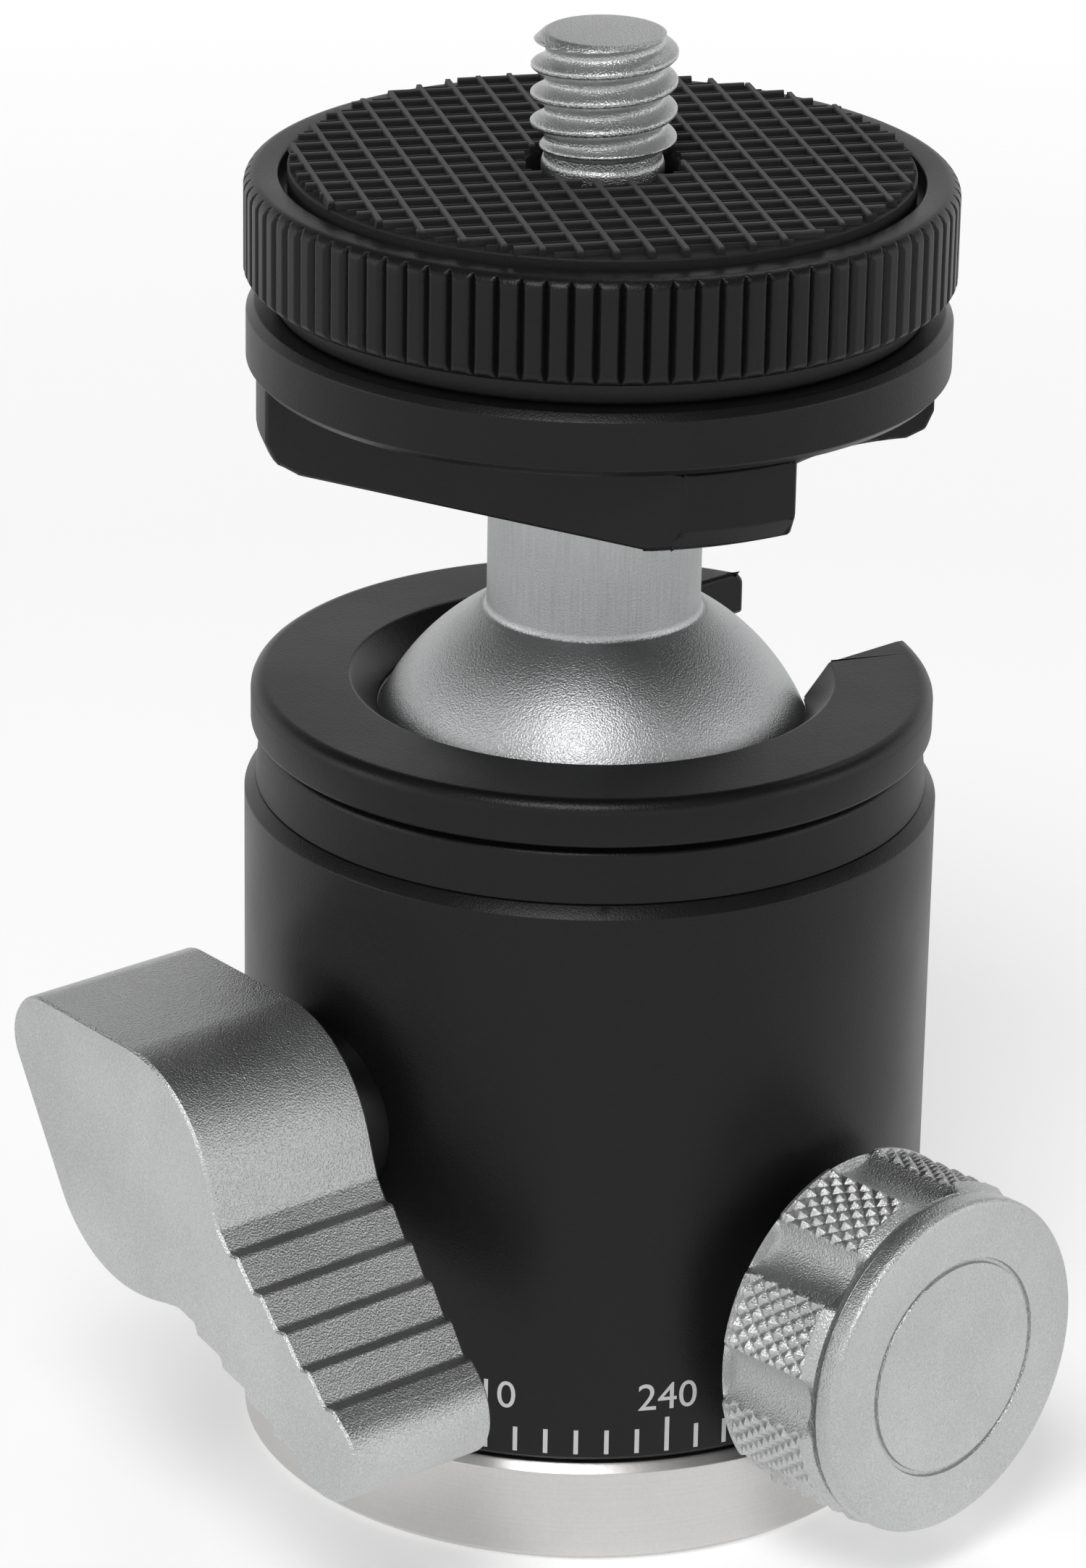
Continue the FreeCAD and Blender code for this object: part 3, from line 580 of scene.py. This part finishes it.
def lever_outline():
    """One turn round the lever: tapered ribbed tail, round hub and short ear."""
    side = arc(TAIL_END, 0, TIP_RADIUS, 0, math.pi / 2 - 0.08, 24)
    for x in np.arange(TAIL_END - STEP, 0.0, -STEP):
        hub = math.sqrt(max(0.0, HUB_RADIUS ** 2 - x * x))
        tail = TIP_RADIUS + TAIL_FLARE * (TAIL_END - x) / FLARE_LENGTH
        powers = math.exp(FILLET_SHARPNESS * hub) + math.exp(FILLET_SHARPNESS * tail)
        joined = math.log(powers) / FILLET_SHARPNESS
        ribs = np.mean([saw(x + STEP * k) for k in range(-3, 4)])
        share = min(1, max(0, (x - FILLET_START) / FILLET_LENGTH))
        side.append((x, hub + (joined - hub) * share + ribs))
    side += arc(0, 0, HUB_RADIUS, math.pi / 2, EAR_ANGLE, 14)
    side += arc(EAR_END, 0, EAR_RADIUS, EAR_ANGLE, math.pi, 22)
    return side + [(x, -y) for x, y in reversed(side[1:-1])]


def inset(outline, depth):
    """The outline moved inward by depth."""
    points = np.array(outline)
    ahead = np.roll(points, -1, 0) - np.roll(points, 1, 0)
    ahead /= np.linalg.norm(ahead, axis=1)[:, None]
    return points + np.column_stack((-ahead[:, 1], ahead[:, 0])) * depth


def lever():
    """The lever knob: rings of its outline from back to front, the tail thinner towards its tip."""
    way = direction(LEVER_AZIMUTH)
    along = direction(LEVER_AZIMUTH + 90, LEVER_SLOPE)
    across = way.cross(along)
    outline = lever_outline()
    levels = []
    for reach, depth in LEVER_RINGS:
        share = (LEVER_FRONT - reach) / (LEVER_FRONT - LEVER_BACK)
        level = []
        for x, y in inset(outline, depth):
            thin = TIP_THINNING * min(1, max(0, (x - THIN_START) / THIN_LENGTH)) * share
            level.append(way * (reach + thin) + UP * LEVER_HEIGHT + along * x + across * y)
        levels.append(level)
    return make("lever_knob", *stack(levels))


settle(lever(), "lock_knob", "blasted_aluminium", ["lock_lever"])

# Panning-lock knob: its axis, its grip, and its reaches from the body's axis

PAN_AZIMUTH = 313.5
PAN_HEIGHT = 10.6
GRIP_RADIUS = 7.951
SCALLOPS = 8
SCALLOP_CENTRE = 9.3
SCALLOP_RADIUS = 2.1
DIAMONDS = (16.9, 21.35)
DIAMOND_ANGLE = math.radians(5.6)
DIAMOND_REACH = 0.92
DIAMOND_DEPTH = 0.26
DIAMOND_FLAT = 0.12
PAN_BACK = 16.5
PAN_FRONT = 23.2
CAP_FOOT = 22.15
CAP_RADIUS = 7.75
GRIP_START = 16.75
GRIP_END = 21.99
GRIP_ROWS = 67


def knurl(turns, radius, reach):
    """The pan knob's grip: eight diamond-cut lands between smooth scallops."""
    if radius < GRIP_RADIUS - 0.05 or reach > GRIP_END:
        return np.full(len(turns), radius)
    half = math.pi / SCALLOPS
    part = np.mod(turns + half, 2 * half) - half
    offset = SCALLOP_CENTRE * np.sin(part)
    chord = SCALLOP_CENTRE * np.cos(part) - np.sqrt(np.maximum(0, SCALLOP_RADIUS ** 2 - offset ** 2))
    scallop = np.where(np.abs(offset) < SCALLOP_RADIUS, chord, np.inf)
    land = np.full(len(turns), radius)
    if DIAMONDS[0] < reach < DIAMONDS[1]:
        first = zigzag(turns / DIAMOND_ANGLE + reach / DIAMOND_REACH)
        second = zigzag(turns / DIAMOND_ANGLE - reach / DIAMOND_REACH)
        land = radius - DIAMOND_DEPTH * np.clip(np.maximum(first, second) - DIAMOND_FLAT, 0, 1)
    return np.minimum(land, scallop)


grip = [(GRIP_RADIUS, GRIP_START + ROW * row) for row in range(GRIP_ROWS)]
PAN_PROFILE = [(0, PAN_BACK), (7.5, PAN_BACK), (7.7, 16.6)] + grip
PAN_PROFILE += [(7.94, 21.45), (7.7, 21.9), (7.45, 21.98), (7.4, 22.06)]
PAN_PROFILE += rounded([
    (7.4, CAP_FOOT), (CAP_RADIUS, 22.2, 0.1), (CAP_RADIUS, PAN_FRONT, 0.32),
    (5.08, PAN_FRONT), (5.03, 23.06), (4.87, 23.06), (4.82, PAN_FRONT), (0, PAN_FRONT),
], 5)
PAN_AXES = (direction(PAN_AZIMUTH - 270), UP, direction(PAN_AZIMUTH))
pan_knob = make("pan_lock_grip", *lathe(PAN_PROFILE, 720, knurl, PAN_AXES, UP * PAN_HEIGHT))
settle(pan_knob, "pan_lock_knob", "blasted_aluminium", ["pan_knob"])

# Ball and stem

NECK_ANGLE = 1.0612
TENON_TOP = 50.1
sphere = arc(0, BALL_HEIGHT, BALL_RADIUS, -math.pi / 2, NECK_ANGLE, 72)[1:]
BALL_PROFILE = [(0, BALL_HEIGHT - BALL_RADIUS)] + sphere + [
    (5.02, 39.60), (4.90, 39.62), (4.82, 39.69), (4.77, 39.82), (STEM_RADIUS, STEM_FOOT),
    (STEM_RADIUS, 43.5), (STEM_RADIUS, BLOCK_FOOT), (TENON_RADIUS, BLOCK_FOOT),
    (TENON_RADIUS, 50.0), (3.4, TENON_TOP), (0, TENON_TOP),
]
settle(make("ball_and_stem", *lathe(BALL_PROFILE)), "ball", "blasted_aluminium", ["ball_stem"], "ball")

# Head: the block with its flat and its relief, the fixed disc and the spacer

BLOCK_RADIUS = 14.95
BLOCK_BORE = 3.55
BLOCK_CUT = (45, 53)
FLAT_AZIMUTH = 239
FLAT_REACH = (10.8, 20)
RELIEF_AZIMUTH = 334
RELIEF_RADIUS = 9.5
RELIEF_CENTRE = 18.3
BLOCK_PROFILE = rounded([
    (BLOCK_BORE, BLOCK_FOOT), (13.75, BLOCK_FOOT, 0.3), (14.59, 47.56, 0.35), (BLOCK_RADIUS, 48.4, 0.4),
    (BLOCK_RADIUS, DISC_FOOT), (BLOCK_BORE, DISC_FOOT),
])
face = [(-20, BLOCK_CUT[0]), (20, BLOCK_CUT[0]), (20, BLOCK_CUT[1]), (-20, BLOCK_CUT[1])]
flat = prism("block_flat", face, direction(FLAT_AZIMUTH + 90), direction(FLAT_AZIMUTH), *FLAT_REACH)
relief_way = direction(RELIEF_AZIMUTH)
relief = prism(
    "block_relief", circle(RELIEF_RADIUS, 120), direction(RELIEF_AZIMUTH - 270), UP, *BLOCK_CUT,
    at=relief_way * RELIEF_CENTRE, rise=relief_way,
)
block = cut(make("neck_block", *lathe(BLOCK_PROFILE)), flat, relief)
settle(soften(block, 0.16), "head", "black_anodised", ["stem_block"])

DISC_RADIUS = 15.4
DISC_EDGE = 0.35
SCREW_SEAT_RADIUS = 6.05
SCREW_SEAT_TOP = 52.6
DISC_PROFILE = rounded([
    (SCREW_SEAT_RADIUS, DISC_FOOT), (DISC_RADIUS - DISC_EDGE, DISC_FOOT, 0.15),
    (DISC_RADIUS, DISC_FOOT + DISC_EDGE, 0.15), (DISC_RADIUS, DISC_TOP - DISC_EDGE, 0.15),
    (DISC_RADIUS - DISC_EDGE, DISC_TOP, 0.15), (TOP_BORE, DISC_TOP), (TOP_BORE, SCREW_SEAT_TOP),
    (SCREW_SEAT_RADIUS, SCREW_SEAT_TOP),
])
settle(make("top_disc", *lathe(DISC_PROFILE)), "head", "black_anodised", ["platform_disc"])

SPACER_RADIUS = 14.2
SPACER_BORE = 3.475
SPACER_TOP = 54.99
SPACER_PROFILE = rounded([
    (SPACER_BORE, DISC_TOP), (SPACER_RADIUS, DISC_TOP, 0.2), (SPACER_RADIUS, SPACER_TOP, 0.2),
    (SPACER_BORE, SPACER_TOP),
])
settle(make("black_spacer", *lathe(SPACER_PROFILE)), "wheel_rise", "black_plastic", ["spacer_washer"])

# Lock wheel

GROOVES = 92
RIM_DEPTH = 0.32
RIM_START = 14.85
GROOVE_SHARE = 0.4
RIM_ROUNDING = 0.6
WHEEL_TOP = 59.6
RIM_INSIDE = 13.95


def wheel_grooves(turns, radius, height):
    """The lock wheel's rim with its 92 straight grooves."""
    if radius < RIM_START:
        return np.full(len(turns), radius)
    cuts = np.clip(1 - zigzag(turns * GROOVES / TURN) / GROOVE_SHARE, 0, 1)
    return np.minimum(radius, BODY_RADIUS - RIM_DEPTH * cuts)


WHEEL_PROFILE = [(15.15, WHEEL_FOOT), (15.3, 55.12), (15.42, 55.25), (BODY_RADIUS, 55.4)]
WHEEL_PROFILE += [(BODY_RADIUS, z) for z in np.arange(55.6, 59.05, 0.2)]
rim_centre = (BODY_RADIUS - RIM_ROUNDING, WHEEL_TOP - RIM_ROUNDING)
WHEEL_PROFILE += arc(*rim_centre, RIM_ROUNDING, 0.12, math.pi / 2, 12)
WHEEL_PROFILE += rounded([
    (14.3, WHEEL_TOP), (RIM_INSIDE, WHEEL_TOP, 0.15), (RIM_INSIDE, PAD_FOOT), (TOP_BORE, PAD_FOOT),
    (TOP_BORE, WHEEL_FOOT),
])[1:]
wheel = make("ribbed_wheel", *lathe(WHEEL_PROFILE, GROOVES * 12, wheel_grooves))
settle(wheel, "wheel", "black_anodised", ["lock_wheel"])

# Rubber pad

PAD_RADIUS = 13.6
PAD_BORE = 3.4
PAD_TOP = 59.95
RIDGE_FOOT = 59.9
RIDGE_PITCH = 1.46
RIDGE_LIMIT = 13.1
RIDGE_MARGIN = 0.05
RIDGE_SHORTFALL = 0.22
RIDGE_ROWS = 10
STEEP = Vector((0.215, -0.977, 0)).normalized()
LEVEL = Vector((0.977, 0.215, 0)).normalized()


def bar(points, faces, start, end, across, low, high, top):
    """A straight ridge from start to end, low half-width at its foot and high at its top."""
    side = [(-low, RIDGE_FOOT), (low, RIDGE_FOOT), (high, top), (-high, top)]
    append(points, faces, *stack([[place + across * x + UP * z for x, z in side] for place in (start, end)]))


def pad():
    """The rubber pad: a disc with a square grid of thin ridges and a finer line in each cell."""
    profile = rounded([
        (PAD_BORE, PAD_FOOT), (PAD_RADIUS, PAD_FOOT), (PAD_RADIUS, PAD_TOP, FINE), (PAD_BORE, PAD_TOP, 0.1),
    ])
    block, faces = lathe(profile, 192)
    points = [Vector(p) for p in block]
    families = (
        (STEEP, LEVEL, 0.35, 0.19, 0.10, 60.30),
        (LEVEL, STEEP, 0.10, 0.15, 0.08, 60.27),
        (LEVEL, STEEP, 0.83, 0.12, 0.06, 60.14),
    )
    for along, across, phase, low, high, top in families:
        for index in range(-RIDGE_ROWS, RIDGE_ROWS + 1):
            offset = index * RIDGE_PITCH + phase
            if abs(offset) > RIDGE_LIMIT:
                continue
            reach = math.sqrt((PAD_RADIUS - RIDGE_MARGIN) ** 2 - offset ** 2)
            reach -= draw.uniform(0, RIDGE_SHORTFALL)
            inner = math.sqrt(max(0.0, (PAD_BORE + RIDGE_MARGIN) ** 2 - offset ** 2))
            runs = ((-reach, -inner), (inner, reach)) if inner > 0.1 else ((-reach, reach),)
            for start, end in runs:
                first, last = along * start + across * offset, along * end + across * offset
                bar(points, faces, first, last, across, low, high, top)
    return make("ridged_pad", points, faces)


settle(pad(), "wheel", "rubber", ["rubber_pad"])

# Camera screw

SCREW_RADIUS = 3.175
SCREW_ROOT = 2.56
SCREW_CREST = 3.19
SHANK_RADIUS = 2.675
SCREW_HEAD_RADIUS = 6
SCREW_HEAD_EDGE = 0.15
THREAD_FOOT = 60.34
THREAD_START = 60.45
THREAD_RISE = 0.35
RUN_OUT = 0.4
THREAD_SHIFT = 0.30
CREST_SHARE = 0.06
FLANK_SHARE = 0.80
FLANK_SOFTNESS = 0.55
CHAMFER_RADIUS = 2.62
CHAMFER_SLOPE = 1.05


def screw_thread(turns, radius, height):
    """The camera screw's right-hand thread, fading in above the pad and cut by the end's chamfer."""
    if height < THREAD_FOOT or radius < SCREW_RADIUS:
        return np.full(len(turns), radius)
    slope = np.clip((zigzag(thread_steps(turns, height, THREAD_SHIFT)) - CREST_SHARE) / FLANK_SHARE, 0, 1)
    slope = slope - FLANK_SOFTNESS * np.sin(TURN * slope) / TURN
    start = np.clip((height - THREAD_START - THREAD_RISE * turns / TURN) / RUN_OUT, 0, 1)
    ring = SCREW_ROOT + (SCREW_CREST - SCREW_ROOT) * (1 - slope) * start
    chamfer = CHAMFER_RADIUS + (SCREW_TOP - height) * CHAMFER_SLOPE
    return np.minimum(np.minimum(ring, SCREW_RADIUS), chamfer)


SCREW_PROFILE = [
    (0, DISC_FOOT), (SCREW_HEAD_RADIUS - SCREW_HEAD_EDGE, DISC_FOOT), (SCREW_HEAD_RADIUS, 51.15),
    (SCREW_HEAD_RADIUS, 52.45), (SCREW_HEAD_RADIUS - SCREW_HEAD_EDGE, SCREW_SEAT_TOP),
    (SHANK_RADIUS, SCREW_SEAT_TOP), (SHANK_RADIUS, 60.1), (2.6, THREAD_FOOT),
]
SCREW_PROFILE += [(SCREW_RADIUS, z) for z in np.arange(60.35, 65.79, 0.04)]
SCREW_PROFILE += [(2.64, 65.84), (2.55, 65.89), (2.45, SCREW_TOP), (0, SCREW_TOP)]
screw = make("camera_thread", *lathe(SCREW_PROFILE, 256, screw_thread))
settle(screw, "head", "blasted_aluminium", ["camera_screw"], sharp=70)

# Studio, in metres: lamps, white backdrop, pale floor and a dim tent

AIM = Vector((0, 0, 0.033))
AMBIENT = 0.5
FLOOR_RADIUS = 0.25
FLOOR_HEIGHT = -0.00005
FLOOR_GREY = 0.93
FLOOR_LIFT = 0.38
FLOOR_FADE = (0.12, 0.24)
MIRROR_FADE = (0.07, 0.10)
TENT_RADIUS = 1.3
TENT_RIM = 26
TENT_GLOW = 0.12


def lamp(name, azimuth, elevation, distance, size, power):
    """A square soft light that faces the object."""
    light = bpy.data.lights.new(name, "AREA")
    light.size, light.energy = size, power
    made = bpy.data.objects.new(name, light)
    way = direction(azimuth, elevation)
    made.location = AIM + way * distance
    made.rotation_mode = "QUATERNION"
    made.rotation_quaternion = (-way).to_track_quat("-Z", "Y")
    bpy.context.scene.collection.objects.link(made)


def backdrop():
    """A white world that the camera and reflections see in full, and that lights the object dimly."""
    world = bpy.data.worlds.new("studio")
    bpy.context.scene.world = world
    world.use_nodes = True
    tree = world.node_tree
    rays = add(tree, "ShaderNodeLightPath").outputs
    seen = maths(tree, "ADD", rays["Is Camera Ray"], rays["Is Glossy Ray"], clamp=True)
    seen = maths(tree, "ADD", seen, rays["Is Transmission Ray"], clamp=True)
    white = tree.nodes["Background"].inputs
    white["Color"].default_value = (1, 1, 1, 1)
    tree.links.new(maths(tree, "MULTIPLY_ADD", seen, 1 - AMBIENT, AMBIENT), white["Strength"])


def floor_surface():
    """A pale floor that fades into the white backdrop away from the object."""
    material = bpy.data.materials.new("pale_floor")
    material.use_nodes = True
    tree = material.node_tree
    tree.nodes.clear()
    place = add(tree, "ShaderNodeTexCoord").outputs["Object"]
    radius = add(tree, "ShaderNodeVectorMath", {0: place}, operation="LENGTH").outputs["Value"]
    fade = remap(tree, radius, *FLOOR_FADE, 0, 1)
    near = remap(tree, radius, *MIRROR_FADE, 1, 0)
    colour = {"Color": (FLOOR_GREY, FLOOR_GREY, FLOOR_GREY, 1)}
    pale = add(tree, "ShaderNodeBsdfDiffuse", colour).outputs[0]
    rays = add(tree, "ShaderNodeLightPath").outputs
    shiny = maths(tree, "MULTIPLY", rays["Is Glossy Ray"], near)
    seen = maths(tree, "ADD", rays["Is Camera Ray"], shiny, clamp=True)
    glow = maths(tree, "MULTIPLY", seen, FLOOR_LIFT)
    lift = add(tree, "ShaderNodeEmission", {"Strength": glow}).outputs[0]
    pale = add(tree, "ShaderNodeAddShader", {0: pale, 1: lift}).outputs[0]
    clear = add(tree, "ShaderNodeBsdfTransparent").outputs[0]
    both = add(tree, "ShaderNodeMixShader", {0: fade, 1: pale, 2: clear}).outputs[0]
    add(tree, "ShaderNodeOutputMaterial", {0: both})
    return material


def hood():
    """A dim grey tent that the camera doesn't see, so that metal reflects a dark studio above."""
    points, faces = [], []
    levels, count = 12, 48
    for level in range(levels + 1):
        lift = TENT_RIM + (90 - TENT_RIM) * level / levels
        points += [direction(360 * i / count, lift) * (TENT_RADIUS / MM) for i in range(count)]
    for level in range(levels):
        faces += band(level * count, (level + 1) * count, count)
    material = bpy.data.materials.new("tent")
    material.use_nodes = True
    tree = material.node_tree
    tree.nodes.clear()
    dim = add(tree, "ShaderNodeEmission", {"Color": (1, 1, 1, 1), "Strength": TENT_GLOW}).outputs[0]
    add(tree, "ShaderNodeOutputMaterial", {0: dim})
    tent = make("tent", points, faces)
    tent.data.materials.append(material)
    tent.visible_camera = False
    tent.visible_shadow = False


lamp("key", 257, 51, 0.8, 0.28, 2.8)
lamp("left", 190, 22, 0.9, 0.40, 0.9)
lamp("right", 350, 22, 0.9, 0.40, 0.7)
lamp("back", 62, 56, 0.9, 0.30, 0.8)
backdrop()
hood()
rim = [(x, y, FLOOR_HEIGHT / MM) for x, y in circle(FLOOR_RADIUS / MM, 90)]
floor = make("floor", rim, [tuple(range(len(rim)))])
floor.data.materials.append(floor_surface())

# Camera: degrees, and millimetres from the origin

CAMERA_AZIMUTH = math.radians(1.09)
CAMERA_ELEVATION = math.radians(22.3521)
CAMERA_ROLL = math.radians(1.0163)
TARGET_RIGHT = -2.0988
TARGET_HEIGHT = 31.0
CAMERA_DISTANCE = 282.9648
LENS = 144.8


def make_camera():
    """The photograph's camera: a long lens, a little above the object and slightly rolled."""
    level = math.cos(CAMERA_ELEVATION)
    look = Vector((
        math.sin(CAMERA_AZIMUTH) * level, math.cos(CAMERA_AZIMUTH) * level, -math.sin(CAMERA_ELEVATION),
    ))
    right = look.cross(UP).normalized()
    up = right.cross(look)
    target = right * TARGET_RIGHT * MM + UP * TARGET_HEIGHT * MM
    across = right * math.cos(CAMERA_ROLL) + up * math.sin(CAMERA_ROLL)
    rise = up * math.cos(CAMERA_ROLL) - right * math.sin(CAMERA_ROLL)
    data = bpy.data.cameras.new("camera")
    data.sensor_fit, data.sensor_width, data.lens = "AUTO", 36, LENS
    data.clip_start, data.clip_end = 0.01, 10
    camera = bpy.data.objects.new("camera", data)
    turn = Matrix((across, rise, -look)).transposed().to_4x4()
    camera.matrix_world = Matrix.Translation(target - look * CAMERA_DISTANCE * MM) @ turn
    bpy.context.scene.collection.objects.link(camera)
    bpy.context.scene.camera = camera


make_camera()
bpy.context.scene.view_settings.view_transform = "Standard"
